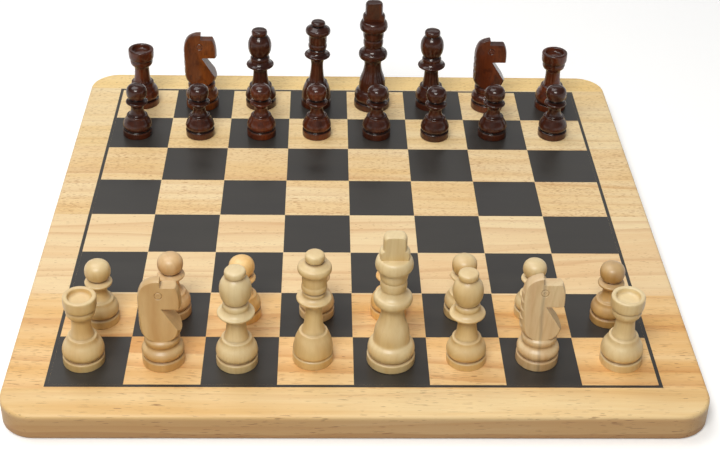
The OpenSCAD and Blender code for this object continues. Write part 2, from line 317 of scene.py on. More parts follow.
bpy.ops.object.select_all(action="DESELECT")
bpy.ops.mesh.primitive_cube_add(
    size=1, location=(0, 0, boardTop / 2), scale=(boardWide, boardDeep, boardTop))
blank = bpy.context.object
pick(blank)
bpy.ops.object.transform_apply(location=True, rotation=True, scale=True)
bevelled(blank, lambda e: rise(e) > mm, board["corner"], 20)
bevelled(blank, lambda e: rise(e) < 0.001 * mm, board["edge"], 8)

# the print: the squares' outer edges are drawn out to the line
printed = {}
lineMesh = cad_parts["border_line"].data
lineEdges = [sorted({round(v.co[axis], 5) for v in lineMesh.vertices}) for axis in (0, 1)]
for node in ("dark_squares", "border_line"):
    plates = copyOf(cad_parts[node], "printed_" + node)
    plates.parent = None
    tidyMesh(plates)
    low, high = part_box(node)
    if node == "dark_squares":
        for axis in (0, 1):
            inner = lineEdges[axis][1] + board["gap"], lineEdges[axis][2] - board["gap"]
            for place, edge in zip((low[axis], high[axis]), inner):
                step = [0, 0, 0]
                step[axis] = edge - place
                moved(plates, lambda v: abs(v.co[axis] - place) < board["near"], step)
    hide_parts(node)
    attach(plates, "board")
    printed[node] = plates

# stretched upwards, the same shapes cut their shallow bed in the wood
printCutters = []
for node, plates in printed.items():
    cutter = copyOf(plates, "cutter_" + node)
    moved(cutter, lambda v: v.co.z > boardTop - board["skin"], (0, 0, 1 * mm))
    printCutters.append(cutter)

strips = {}
for name in ("strip_front", "strip_1", "strip_2", "strip_3", "strip_4", "strip_back"):
    low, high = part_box(name)
    strip = copyOf(blank, "wood_" + name)
    for place, side in ((low.y, -1), (high.y, 1)):
        if boardLow.y + mm < place < boardHigh.y - mm:
            bisected(strip, (0, place, 0), (0, side, 0))
            bevelled(
                strip,
                lambda e: all(abs(v.co.y - place) < 1e-6 and v.co.z > boardTop - 1e-6 for v in e.verts),
                board["seam"], 2,
            )
    cutAway(strip, [copyOf(cutter, "tool") for cutter in printCutters])
    smooth(strip, 35)
    # a flat top shades flat
    apply(strip, "WEIGHTED_NORMAL", mode="FACE_AREA", weight=100, keep_sharp=True)
    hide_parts(name)
    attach(strip, "board")
    strips[name] = strip
for spare in printCutters + [blank]:
    bpy.data.objects.remove(spare)
print("board glued up:", len(strips), "strips")


# ---- turned chessmen: an outline is drawn step by step and spun

def foot(r, t, cut):  # the disc under every piece and the groove above it
    return [
        ("line", r - 0.5, 0),
        ("curve", r, 0, r, 0.5),
        ("line", r, t - 1.1),
        ("curve", r, t - 0.4, r - 0.6, t - 0.35),
        ("line", r - cut - 0.2, t),
    ]


pawnMan = {
    "across": 18.8, "tall": 36.4,
    "outline": foot(9.4, 5.1, 1) + [
        ("curve", 9.1, 6.1, 9.4, 7.3),
        ("curve", 9.3, 9.6, 8.2, 11.3),
        ("curve", 7.4, 12.2, 7.2, 13.2),
        ("curve", 7.2, 14, 6.6, 14.1),
        ("line", 5.6, 14.2),
        ("curve", 4.1, 15.9, 4, 19.6),
        ("curve", 4.2, 22.4, 6.3, 23.2),
        ("bead", 0.8, 6.2, 24.9),
        ("curve", 4.6, 25.4, 3.9, 26.4),
        ("curve", 6.6, 27, 6.6, 31),
        ("curve", 6.6, 36.4, 0, 36.4),
    ],
}

rookMan = {
    "across": 21.4, "tall": 41.4, "drawn": 42,
    "outline": foot(10.7, 5.2, 1.1) + [
        ("curve", 10.4, 6.2, 10.8, 7.7),
        ("curve", 10.7, 11, 9, 13.4),
        ("curve", 7.9, 14.6, 7.6, 16.3),
        ("curve", 7.6, 17.3, 6.9, 17.4),
        ("line", 6.2, 17.5),
        ("curve", 4.9, 20.4, 4.9, 27.4),
        ("curve", 5.1, 29.4, 6.6, 30.2),
        ("curve", 7.5, 31, 7.6, 33.2),
        ("line", 7.3, 34.6),
        ("line", 8.1, 35.2),
        ("curve", 8.5, 36.2, 8.5, 38),
        ("line", 8.5, 40.8),
        ("curve", 8.5, 42, 7.4, 42),
        ("curve", 6.4, 42, 6.1, 41.6),
        ("line", 5.9, 40.4),
        ("curve", 5.7, 39.2, 4.6, 39),
        ("line", 0, 38.7),
    ],
}

bishopMan = {
    "across": 21, "tall": 57.2, "drawn": 57.6,
    "outline": foot(10.8, 5.1, 1.1) + [
        ("curve", 10.6, 6.1, 10.9, 7.5),
        ("curve", 10.8, 10.4, 9.4, 12.3),
        ("curve", 8.3, 13.6, 8, 15),
        ("curve", 8.1, 16, 7.4, 16.2),
        ("line", 6.5, 16.3),
        ("curve", 5.1, 20, 4.9, 27),
        ("curve", 5.2, 29.6, 8.6, 30.5),
        ("bead", 1, 8.8, 32.3),
        ("curve", 7.3, 32.8, 6.6, 34.8),
        ("bead", 0.4, 6.3, 37.4),
        ("line", 5.6, 38.2),
        ("curve", 8.2, 40.8, 8.2, 46),
        ("curve", 8.2, 50.6, 4.9, 53.4),
        ("curve", 5.5, 53.7, 5.5, 55.4),
        ("curve", 5.5, 57, 4.4, 57.2),
        ("curve", 2, 57.6, 0, 57.6),
    ],
}

queenMan = {
    "across": 20.6, "tall": 65.2,
    "outline": foot(10.3, 5.2, 0.5) + [
        ("curve", 10, 5.7, 10.2, 6.6),
        ("curve", 9.6, 13.4, 7.4, 17.4),
        ("curve", 7.3, 18.4, 6.8, 18.5),
        ("line", 6, 18.6),
        ("curve", 4.4, 22, 4.1, 31),
        ("curve", 4.2, 36.8, 7.4, 37.6),
        ("bead", 1.4, 7.4, 39.6),
        ("curve", 6.2, 40, 5.6, 41.2),
        ("bead", 0.4, 5.4, 43),
        ("line", 5.2, 43.4),
        ("line", 6, 43.9),
        ("bead", 0.35, 6, 47),
        ("line", 5.9, 47.3),
        ("curve", 6.2, 48.2, 6.1, 51),
        ("curve", 6.2, 53.6, 7.5, 54.6),
        ("bead", 1, 7.3, 58.4),
        ("line", 6.9, 58.6),
        ("curve", 5.6, 59.8, 3.8, 60.4),
        ("curve", 4.9, 60.8, 4.9, 62.8),
        ("curve", 4.9, 64.8, 3.6, 65),
        ("curve", 1.6, 65.2, 0, 65.2),
    ],
}

kingMan = {
    "across": 24.6, "tall": 77.4,
    "crownThick": 6.8, "crownFrom": 63.4,
    "grit": 0.2, "rounds": 5, "kept": 0.35,
    "outline": foot(12.3, 5.2, 1.1) + [
        ("curve", 11.8, 6.3, 12, 7.8),
        ("curve", 12, 11.8, 9.8, 13),
        ("curve", 9, 13.6, 9.1, 15.2),
        ("curve", 9.2, 19.8, 7.4, 24),
        ("curve", 6, 27.6, 5.7, 32),
        ("curve", 5.8, 35.4, 8, 36.6),
        ("bead", 1.6, 8.3, 41.8),
        ("curve", 7, 42.6, 6.3, 44.6),
        ("line", 6, 45.4),
        ("bead", 0.6, 6.2, 50.9),
        ("curve", 7.1, 51.8, 7, 55.6),
        ("curve", 7.3, 57, 8.2, 57.6),
        ("bead", 1.5, 7.5, 64.2),
        ("line", 0, 64.2),
    ],
    "crown": [
        ("line", 7, 63.4),
        ("line", 7.5, 64.2),
        ("line", 7.5, 67.2),
        ("curve", 7.5, 68.8, 5.9, 69.2),
        ("curve", 5.8, 70.6, 5.8, 75),
        ("curve", 5.8, 77.4, 3.6, 77.4),
        ("line", 0, 77.4),
    ],
}

knightMan = {
    "across": 21.2, "tall": 50,
    "headThick": 6.2, "lean": 7.5, "muzzleTop": 46.5,
    "jaw": 34.8, "chest": 20.4, "throat": 1.06, "longBrow": 0.85, "shortBrow": -0.85,
    "eyeUp": 42.2, "eyeAcross": 3.6, "cut": 0.6,
    "maneLow": 23, "maneHigh": 42, "maneCuts": 5, "maneCut": 1.6, "maneTilt": 35,
    "headFrom": 16.2, "grit": 0.18, "rounds": 2, "kept": 0.35,
    "outline": foot(10.6, 5.4, 1) + [
        ("curve", 10.4, 6.3, 10.6, 7.6),
        ("curve", 10.6, 10, 9, 10.8),
        ("curve", 8, 11.4, 8.1, 12.8),
        ("bead", 0.8, 8.1, 16.2),
        ("line", 7.7, 16.8),
        ("line", 0, 16.8),
    ],
    "head": [
        ("line", 7, 16.2),
        ("line", 7.7, 16.8),
        ("curve", 10.4, 18.8, 10.6, 23.4),
        ("line", 10.6, 37),
        ("curve", 10.6, 45.4, 7.2, 47.8),
        ("curve", 4, 50, 0, 50),
    ],
}


turning = {
    "lines": 0.25,  # mm between points on a straight step
    "curvePoints": 24, "beadPoints": 32,
    "gauge": 0.2,  # mm between points of the whole outline
    "wear": 2,  # rounds of sandpaper
    "slack": 0.012,  # mm that a dropped point may lie off
    "sides": 64,
    # the faded mark reaches onto the ledge beside a groove, as painted shade under the overhang above it
    "reach": 5,  # points looked at on each side for a groove
    "fade": 6,  # points over which its mark fades out
    "bend": (0.55, 0.9),  # radians where a groove starts, and from there to a full one
    "hollow": (0.04, 9),  # the same for a carved piece
}


def walk(outline, start=(0, 0)):  # the outline's steps as points close together
    points = [Vector(start)]
    for step in outline:
        a = points[-1]
        b = Vector(step[-2:])
        if step[0] == "line":
            count = max(1, round((b - a).length / turning["lines"]))
            points += [a.lerp(b, i / count) for i in range(1, count + 1)]
        elif step[0] == "curve":
            pull = Vector(step[1:3])
            for i in range(1, turning["curvePoints"] + 1):
                t = i / turning["curvePoints"]
                points.append(a * (1 - t) ** 2 + pull * 2 * t * (1 - t) + b * t * t)
        else:
            for i in range(1, turning["beadPoints"] + 1):
                t = math.pi * i / turning["beadPoints"]
                out = Vector((step[1] * math.sin(t), 0))
                points.append(a.lerp(b, (1 - math.cos(t)) / 2) + out)
    return points


def evenly(points, step):  # the same line with points a step apart
    spaced = [points[0]]
    left = step
    for a, b in zip(points, points[1:]):
        length = (b - a).length
        along = left
        while along < length:
            spaced.append(a.lerp(b, along / length))
            along += step
        left = along - length
    if (spaced[-1] - points[-1]).length < step / 2:
        spaced.pop()
    return spaced + [points[-1]]


def worn(points, rounds):  # sandpaper takes the sharpness off every corner
    for _ in range(rounds):
        points = [points[0]] + [
            a * 0.25 + b * 0.5 + c * 0.25 for a, b, c in zip(points, points[1:], points[2:])
        ] + [points[-1]]
    return points


def fewer(points, slack):  # drop the points that a straight line does without
    far, where = 0, 0
    a, b = points[0], points[-1]
    line = b - a
    for i in range(1, len(points) - 1):
        p = points[i] - a
        off = abs(line.x * p.y - line.y * p.x) / line.length if line.length > 1e-9 else p.length
        if off > far:
            far, where = off, i
    if far <= slack and line.length < 3:
        return [a, b]
    if where == 0:
        where = len(points) // 2
    if len(points) < 3:
        return [a, b]
    return fewer(points[:where + 1], slack)[:-1] + fewer(points[where:], slack)


def hollows(points):  # 1 in a cut groove, 0 on a plain or rounded place
    reach = turning["reach"]
    first, full = turning["bend"]
    marks = []
    for i, p in enumerate(points):
        a = points[max(0, i - reach)]
        b = points[min(len(points) - 1, i + reach)]
        u, v = p - a, b - p
        turn = math.atan2(u.x * v.y - u.y * v.x, u.dot(v)) if u.length and v.length else 0
        marks.append(min(1, max(0, -turn - first) / full))
    fade = turning["fade"]
    return [
        max(m * (1 - abs(k - i) / fade) for k, m in enumerate(marks) if abs(k - i) < fade)
        for i in range(len(marks))
    ]


def lathe(name, man, outline, start=(0, 0)):
    wide = max(p.x for p in walk(man["outline"]))
    scale = Vector((man["across"] / 2 / wide, man["tall"] / man.get("drawn", man["tall"])))
    points = worn(evenly(walk(outline, start), turning["gauge"]), turning["wear"])
    marks = hollows(points)
    corners = {tuple(p) for p in fewer(points, turning["slack"])}
    kept = [p for i, p in enumerate(points) if tuple(p) in corners or (marks[i] > 0.05 and i % 2 == 0)]
    bpy.ops.object.select_all(action="DESELECT")
    bpy.ops.mesh.primitive_plane_add(size=1 * mm, location=(0, 0, 0))
    piece = bpy.context.object
    piece.name = name
    editing(piece)
    bpy.ops.mesh.select_all(action="SELECT")
    bpy.ops.mesh.merge(type="CENTER")
    spots = [Vector((p.x * scale.x * mm, 0, p.y * scale.y * mm)) for p in kept]
    bpy.ops.transform.translate(value=spots[0])
    for a, b in zip(spots, spots[1:]):
        bpy.ops.mesh.extrude_region_move(TRANSFORM_OT_translate={"value": b - a})
    bpy.ops.mesh.select_all(action="SELECT")
    bpy.ops.mesh.spin(steps=turning["sides"], angle=math.tau, center=(0, 0, 0), axis=(0, 0, 1))
    bpy.ops.object.mode_set(mode="OBJECT")
    tidyMesh(piece)
    # how deep in a groove each point lies, for the painted shade and the finish that gathers there
    table = [(p.x * scale.x * mm, p.y * scale.y * mm, m) for p, m in zip(points, marks)]
    known = {}
    values = []
    for v in piece.data.vertices:
        key = (round(math.hypot(v.co.x, v.co.y), 5), round(v.co.z, 5))
        if key not in known:
            known[key] = min(table, key=lambda t: (t[0] - key[0]) ** 2 + (t[1] - key[1]) ** 2)[2]
        values.append(known[key])
    groove = piece.data.attributes.new("groove", "FLOAT", "POINT")
    groove.data.foreach_set("value", values)
    smooth(piece, 50)
    return piece


def markHollows(piece):  # the same for a carved piece: how far its neighbours stand above each point
    first, gain = turning["hollow"]
    shape = bmesh.new()
    shape.from_mesh(piece.data)
    shape.normal_update()
    values = []
    for v in shape.verts:
        above = [(e.other_vert(v).co - v.co).normalized().dot(v.normal) for e in v.link_edges]
        values.append(min(1, max(0, sum(above) / max(1, len(above)) - first) * gain))
    shape.free()
    attributes = piece.data.attributes
    groove = attributes.get("groove") or attributes.new("groove", "FLOAT", "POINT")
    groove.data.foreach_set("value", values)


def join(main, others):
    pick(main)
    for other in others:
        other.select_set(True)
    bpy.ops.object.join()
    return main


def block(low, high):  # a plain block to saw with
    bpy.ops.object.select_all(action="DESELECT")
    middle = [(a + b) / 2 for a, b in zip(low, high)]
    size = [b - a for a, b in zip(low, high)]
    bpy.ops.mesh.primitive_cube_add(size=1, location=middle, scale=size)
    tool = bpy.context.object
    bpy.ops.object.transform_apply(location=True, rotation=True, scale=True)
    return tool


def sanded(piece, man):  # closes the cut faces and takes their edges off
    grit = man["grit"] * mm
    apply(piece, "REMESH", mode="VOXEL", voxel_size=grit)
    apply(piece, "SMOOTH", factor=0.5, iterations=man["rounds"])
    apply(piece, "DECIMATE", decimate_type="COLLAPSE", ratio=man["kept"])
    tidyMesh(piece)
    smooth(piece, 40)


def carvedKing(name, man):
    body = lathe(name, man, man["outline"])
    crown = lathe("crown", man, man["crown"], start=(0, man["crownFrom"]))
    half = man["crownThick"] / 2 * mm
    for side in (1, -1):
        bisected(crown, (0, side * half, 0), (0, side, 0))
    sanded(crown, man)
    return join(body, [crown])


def carvedKnight(name, man, brow):
    body = lathe(name, man, man["outline"])
    head = lathe("head", man, man["head"], start=(0, man["headFrom"]))
    lean = math.radians(man["lean"])
    half = man["headThick"] / 2 * mm
    top = man["muzzleTop"] * mm
    for side in (1, -1):  # the two saw cuts that make the flat faces
        bisected(head, (0, side * half, top), (0, side * math.cos(lean), math.sin(lean)))
    reach = man["across"] * mm
    # the wedge between jaw and chest
    chest = man["chest"] * mm
    wedge = block((man["throat"] * mm, -reach, chest), (reach, reach, man["jaw"] * mm))
    out = (man["across"] / 2 - man["throat"]) * mm
    moved(wedge, lambda v: v.co.x < 5 * mm and v.co.z < chest + 0.01 * mm, (out, 0, 0))
    step = block((brow * mm, -reach, top), (reach, reach, 2 * top))
    tools = [wedge, step]
    for i in range(man["maneCuts"]):  # slanting notches down the back of the neck
        up = man["maneLow"] + (man["maneHigh"] - man["maneLow"]) * i / (man["maneCuts"] - 1)
        bpy.ops.object.select_all(action="DESELECT")
        bpy.ops.mesh.primitive_cube_add(
            size=1, location=(-man["across"] / 2 * mm, 0, up * mm),
            rotation=(0, math.radians(man["maneTilt"]), 0),
            scale=(man["maneCut"] * mm, reach, man["maneCut"] * mm))
        tools.append(bpy.context.object)
    for side in (1, -1):  # the ring and the dot of the eye
        drop = top - man["eyeUp"] * mm
        place = Vector((0, side * (half + drop * math.tan(lean)), man["eyeUp"] * mm))
        for share, depth in ((1, 1), (0.3, 0.6)):
            bpy.ops.object.select_all(action="DESELECT")
            bpy.ops.mesh.primitive_torus_add(
                location=place, rotation=(math.radians(90) + side * lean, 0, 0),
                major_segments=36, minor_segments=10,
                major_radius=man["eyeAcross"] * share / 2 * mm, minor_radius=man["cut"] * depth / 2 * mm)
            tools.append(bpy.context.object)
    cutAway(head, tools)
    sanded(head, man)
    markHollows(head)
    return join(body, [head])


lowQueen = dict(queenMan, tall=63.7, outline=queenMan["outline"][:-3] + [
    ("curve", 4.8, 60.9, 4.8, 61.7),
    ("curve", 4.7, 63.4, 2.4, 63.5),
    ("curve", 1.2, 63.7, 0, 63.7),
])  # the dark queen's ball is turned flatter

shoulder = [i for i, step in enumerate(pawnMan["outline"]) if step[-1] in (11.3, 19.6)]
flaredPawn = dict(pawnMan, outline=pawnMan["outline"][:shoulder[0]] + [
    ("curve", 9.3, 9.2, 8, 11.4),
    ("curve", 7.1, 12.8, 6.8, 13.7),
    ("curve", 6.9, 14.6, 6.3, 14.8),
    ("line", 5.3, 15),
    ("curve", 4.1, 16.6, 4, 19.6),
] + pawnMan["outline"][shoulder[1] + 1:])  # the dark pawns flare more evenly from a narrow ring

models = {
    "pawn": lathe("model_pawn", pawnMan, pawnMan["outline"]),
    "flaredPawn": lathe("model_flared_pawn", flaredPawn, flaredPawn["outline"]),
    "rook": lathe("model_rook", rookMan, rookMan["outline"]),
    "bishop": lathe("model_bishop", bishopMan, bishopMan["outline"]),
    "queen": lathe("model_queen", queenMan, queenMan["outline"]),
    "lowQueen": lathe("model_low_queen", lowQueen, lowQueen["outline"]),
    "king": carvedKing("model_king", kingMan),
    "longBrow": carvedKnight("model_long_brow", knightMan, knightMan["longBrow"]),
    "shortBrow": carvedKnight("model_short_brow", knightMan, knightMan["shortBrow"]),
}
print("chessmen turned:", {kind: len(model.data.polygons) for kind, model in models.items()})


# ---- wood and print

def growth(tree, far, ring, stops, power=1):  # growth rings: how dark the late wood is at this distance
    rings = figure(tree, "MULTIPLY", far, 1 / ring)
    # every ring has its own strength
    which = figure(tree, "FLOOR", rings)
    strength = add(tree, "ShaderNodeTexWhiteNoise", {"W": which}, noise_dimensions="1D").outputs["Value"]
    if power != 1:
        strength = figure(tree, "POWER", strength, power)
    late = add(tree, "ShaderNodeValToRGB", {"Fac": figure(tree, "FRACT", rings)}, stops=stops).outputs[0]
    return figure(tree, "MULTIPLY", late, strength)


def fromAxis(tree, coords, axes):  # how far a point lies from an axis of the trunk
    flat = add(tree, "ShaderNodeVectorMath", {0: coords, 1: axes}, operation="MULTIPLY").outputs[0]
    return add(tree, "ShaderNodeVectorMath", {0: flat}, operation="LENGTH").outputs["Value"]


def rubbedPine(name, s):
    # softwood strip, planed and sanded, with a thin satin lacquer: soft sheen, slow warm bands along
    # the strip, and thin brown dashes where resin canals are cut lengthways
    material, tree = blankMaterial(name)
    coords = add(tree, "ShaderNodeTexCoord").outputs["Object"]
    placed = add(tree, "ShaderNodeMapping", {
        "Vector": coords, "Location": s["shift"], "Rotation": [math.radians(a) for a in s["tilt"]],
    }).outputs[0]
    # slow bends of the trunk, 200 mm long and 30 mm wide
    bends = spread(tree, placed, (5, 34, 34), 2, 0.45).outputs["Color"]
    pull = add(tree, "ShaderNodeVectorMath", {0: bends, 1: (0.5, 0.5, 0.5)}, operation="SUBTRACT")
    pull = add(tree, "ShaderNodeVectorMath", {0: pull.outputs[0], "Scale": s["bend"]}, operation="SCALE")
    bent = add(tree, "ShaderNodeVectorMath", {0: placed, 1: pull.outputs[0]}, operation="ADD").outputs[0]
    late = growth(
        tree, fromAxis(tree, bent, (0, 1, 1)), s["ring"],
        [(0, 0.0), (0.45, 0.1), (0.82, 0.8), (0.92, 1.0), (1, 0.0)], 1.5,
    )
    # bands of warmer and paler wood, 15 mm apart and 250 mm long
    bands = ramp(tree, spread(tree, bent, (4, 62, 62), 3, 0.55).outputs["Fac"], 0.34, 0.66)
    # fibres 0.7 mm wide, drawn coarser than real so that they show
    fibres = spread(tree, bent, (30, 1400, 1400), 2, 0.6).outputs["Fac"]
    # dashes 0.4 mm wide and 3 to 6 mm long, in crowds 15 mm across
    crowd = spread(tree, placed, (16, 75, 75), 1).outputs["Fac"]
    marks = spread(tree, placed, s["dashSize"], 0).outputs["Fac"]
    gate = figure(tree, "MULTIPLY_ADD", crowd, 0.22, marks)
    dashes = ramp(tree, gate, s["dashes"], s["dashes"] + 0.06)

    colour = mixed(tree, bands, paint(s["pale"]), paint(s["warm"]))
    colour = laid(tree, late, s["ringShow"], colour, s["line"])
    if "heart" in s:  # the browner heart of the trunk lies low in this strip
        tall = add(tree, "ShaderNodeSeparateXYZ", {0: coords}).outputs["Z"]
        below = ramp(tree, tall, 13.8 * mm, 11.8 * mm, 0, 0.55)
        colour = mixed(tree, below, colour, paint(s["heart"]))
        # and its rim shows as a rising and falling line 4 mm up
        rises = spread(tree, coords, (9, 9, 9)).outputs["Fac"]
        rim = figure(tree, "MULTIPLY_ADD", rises, -9 * mm, tall)
        colour = mixed(tree, ramp(tree, rim, 0.3 * mm, -0.4 * mm, 0, 0.6), colour, paint(s["heart"]))
    colour = mixed(tree, ramp(tree, fibres, 0.45, 0.8, 0, s["fibreShow"]), colour, paint(s["line"]))
    colour = laid(tree, dashes, s["dashShow"], colour, s["dash"])
    surface(tree, add(tree, "ShaderNodeBsdfPrincipled", {
        "Base Color": colour, "Roughness": ramp(tree, fibres, 0.3, 0.7, 0.4, 0.52), "IOR": 1.48,
        "Normal": bumped(tree, figure(tree, "SUBTRACT", fibres, dashes), 0.1, 0.12 * mm),
    }))
    return material


stripCommon = dict(
    bend=13 * mm, ringShow=0.5, fibreShow=0.2,
    dashSize=(380, 2600, 2600), dashes=0.8, dashShow=0.6,
)
stripLooks = {
    "strip_front": dict(
        shift=(0.31, 0.19, 0.012), tilt=(0, 1.2, 0.6), ring=7 * mm,
        dashSize=(170, 2600, 2600), dashes=0.85, dashShow=0.65,
        pale="#f0d4a0", warm="#e2b878", line="#c98f52", dash="#7e4824", heart="#b48454"),
    "strip_1": dict(
        shift=(-0.12, 0.118, 0.004), tilt=(0, 2.2, 1.6), ring=8 * mm, ringShow=0.65,
        dashSize=(200, 2600, 2600), dashes=0.81,
        pale="#f1cf98", warm="#e4b26c", line="#c98646", dash="#96581f"),
    "strip_2": dict(
        shift=(0.6, 0.035, -0.01), tilt=(0, -1.8, -1.2), ring=7 * mm, bend=22 * mm, dashes=0.86,
        pale="#f4dcae", warm="#edca98", line="#cc9460", dash="#a06a38"),
    "strip_3": dict(
        shift=(-0.4, -0.06, 0.02), tilt=(0, 1, 0.8), ring=6 * mm, dashes=0.765,
        pale="#f5dcae", warm="#edc98e", line="#c98e4e", dash="#a8662c"),
    "strip_4": dict(
        shift=(0.22, -0.14, 0.03), tilt=(0, 0.5, -0.5), ring=5 * mm, dashes=0.765, dashShow=0.5,
        pale="#f7e0b2", warm="#f0d096", line="#cf9c58", dash="#a06c34"),
    "strip_back": dict(
        shift=(-0.7, -0.3, 0.01), tilt=(0, 0.7, 0.3), ring=5 * mm, dashes=0.78, dashShow=0.5,
        pale="#fbdc9c", warm="#f4d08a", line="#d6a258", dash="#9a6830"),
}

for name, strip in strips.items():
    pine = rubbedPine("planed pine, satin lacquer, " + name, dict(stripCommon, **stripLooks[name]))
    strip.data.materials.clear()
    strip.data.materials.append(pine)


def screenPrint(name):
    # black screen-print ink on lacquered wood: satin, with the wood's fine grain still in its surface
    material, tree = blankMaterial(name)
    coords = add(tree, "ShaderNodeTexCoord").outputs["Object"]
    # fibres 0.8 mm wide, and clouds 17 mm wide and 55 mm long
    fibres = spread(tree, coords, (50, 1300, 1300), 2, 0.6).outputs["Fac"]
    cloud = spread(tree, coords, (18, 60, 60)).outputs["Fac"]
    stops = [(0.3, paint("#312e2b")), (0.7, paint("#3a3733"))]
    colour = add(tree, "ShaderNodeValToRGB", {"Fac": cloud}, stops=stops).outputs[0]
    surface(tree, add(tree, "ShaderNodeBsdfPrincipled", {
        "Base Color": colour, "Roughness": ramp(tree, cloud, 0.3, 0.7, 0.3, 0.38), "IOR": 1.5,
        "Normal": bumped(tree, fibres, 0.1, 0.1 * mm),
    }))
    return material


ink = screenPrint("black screen print, satin")
for plates in printed.values():
    plates.data.materials.clear()
    plates.data.materials.append(ink)


def turnedWood(name, centre, turn, s):
    # close-grained hardwood off the lathe: growth rings stand upright, so they show as soft upright
    # bands on a stem and as curves on a bulge, with fine fibres, and the grooves are painted darker, as
    # painted shade and as finish that gathers there
    material, tree = blankMaterial(name)
    coords = add(tree, "ShaderNodeTexCoord").outputs["Object"]
    middle = add(tree, "ShaderNodeMapping", {"Vector": coords, "Location": -centre}).outputs[0]
    placed = add(tree, "ShaderNodeMapping", {
        "Vector": middle, "Location": (s["heart"], 0, turn), "Rotation": (0, 0, turn),
    }).outputs[0]
    # the trunk's slow bends, 12 mm wide and 40 mm tall, make every ring uneven
    bends = spread(tree, placed, (80, 80, 25)).outputs["Fac"]
    far = figure(tree, "MULTIPLY_ADD", bends, 9 * mm, fromAxis(tree, placed, (1, 1, 0)))
    late = growth(tree, far, s["ring"], [(0, 0.0), (0.5, 0.3), (0.85, 1.0), (1, 0.0)])
    # fibres 0.7 mm wide, and broad warmer and paler places 10 mm wide and 50 mm tall
    fibres = spread(tree, placed, (1400, 1400, 80), 2, 0.6).outputs["Fac"]
    bands = ramp(tree, spread(tree, placed, (100, 100, 20), 3, 0.55).outputs["Fac"], 0.34, 0.66)
    groove = add(tree, "ShaderNodeAttribute", attribute_name="groove").outputs["Fac"]

    colour = mixed(tree, bands, paint(s["pale"]), paint(s["warm"]))
    colour = laid(tree, late, s["ringShow"], colour, s["line"])
    colour = mixed(tree, ramp(tree, fibres, 0.5, 0.8, 0, s["fibreShow"]), colour, paint(s["line"]))
    if "blot" in s:  # stain soaks in unevenly, in blots 5 mm across
        blots = spread(tree, placed, (190, 190, 150), 3, 0.6).outputs["Fac"]
        blots = ramp(tree, blots, 0.5, 0.68, 0, s["blotShow"])
        colour = mixed(tree, blots, colour, paint(s["blot"]))
    if "streak" in s:  # a mineral streak 2 mm wide runs up the blank, wandering a little
        wander = spread(tree, middle, (120, 120, 60)).outputs["Fac"]
        side = add(tree, "ShaderNodeSeparateXYZ", {0: middle}).outputs["X"]
        side = figure(tree, "MULTIPLY_ADD", wander, 2.4 * mm, side)
        side = figure(tree, "ABSOLUTE", figure(tree, "SUBTRACT", side, 0.4 * mm))
        colour = mixed(tree, ramp(tree, side, 0, 1.3 * mm, 0.5, 0), colour, paint(s["streak"]))
    # painted light by which way a face looks: what faces up is painted paler on the light men, a painted
    # sheen, and darker on the dark ones, painted shade that leaves their lower sides redder, like a painted
    # reflection of the board
    normal = add(tree, "ShaderNodeNewGeometry").outputs["Normal"]
    up = add(tree, "ShaderNodeSeparateXYZ", {0: normal}).outputs["Z"]
    colour = mixed(tree, ramp(tree, up, 0, 0.7, 0, s["topShadingShow"]), colour, paint(s["above"]))
    # painted shade in and beside the grooves, together with the darker finish that gathers there
    colour = laid(tree, groove, s["grooveShadeAndFinish"], colour, s["deep"])
    bump = bumped(tree, fibres, s["bump"], 0.1 * mm)
    if "peel" in s:  # lacquer that has drawn together in soft waves 2 mm across
        waves = spread(tree, placed, (520, 520, 420), 2, 0.6).outputs["Fac"]
        bump = bumped(tree, waves, s["peel"], 0.3 * mm, Normal=bump)
    sheen = ramp(tree, fibres, 0.3, 0.7, s["rough"] - 0.04, s["rough"] + 0.05)
    surface(tree, add(tree, "ShaderNodeBsdfPrincipled", {
        "Base Color": colour, "Roughness": sheen, "IOR": s["ior"], "Normal": bump,
        "Coat Weight": s["coat"], "Coat Roughness": s["coatRough"], "Coat Normal": bump,
    }))
    return material


# in both, deep is painted shade in the grooves, partly also finish gathered there, and above is a painted
# top light or top shade
lightWood = dict(
    line="#b98e50", deep="#7c5426", above="#f4e6c4", topShadingShow=0.3,
    heart=0.03, ring=3.2 * mm, ringShow=0.22, fibreShow=0.18, grooveShadeAndFinish=0.8,
    bump=0.06, rough=0.42, ior=1.5, coat=0.35, coatRough=0.32,
)
darkWood = dict(
    line="#2a0f08", deep="#0a0403", above="#240f0a", topShadingShow=0.6, blot="#2a0f08", blotShow=0.55,
    heart=0.028, ring=2.6 * mm, ringShow=0.35, fibreShow=0.35, grooveShadeAndFinish=0.95,
    bump=0.05, rough=0.42, ior=1.25, coat=0.7, coatRough=0.09, peel=0.25,
)
# no two blanks have quite the same colour, nor quite the same strength of painted top light
tones = {
    "cream": dict(pale="#e2ca96", warm="#d5b57a"),
    "straw": dict(pale="#dec084", warm="#d1aa68"),
    "honey": dict(pale="#fad08a", warm="#eeb45e", topShadingShow=0.1),
    "tan": dict(pale="#d4ae72", warm="#bf904e", ringShow=0.55, fibreShow=0.34, topShadingShow=0.2),
    "rose": dict(pale="#e6c08a", warm="#d2a062", ringShow=0.35, topShadingShow=0.2),
    "sand": dict(pale="#f2d4a0", warm="#e4bc82", ringShow=0.3, topShadingShow=0.1),
    "streaked": dict(
        pale="#dcc090", warm="#cba06c", ringShow=0.4, fibreShow=0.3, topShadingShow=0.25, streak="#7d654c"),
    "amber": dict(pale="#c89e5c", warm="#a87c40", ringShow=0.5, fibreShow=0.34, topShadingShow=0.2),
    "brown": dict(pale="#58260f", warm="#3e1b0b"),
    "red": dict(pale="#763412", warm="#50220c"),
    "russet": dict(pale="#96501c", warm="#6e3410"),
}
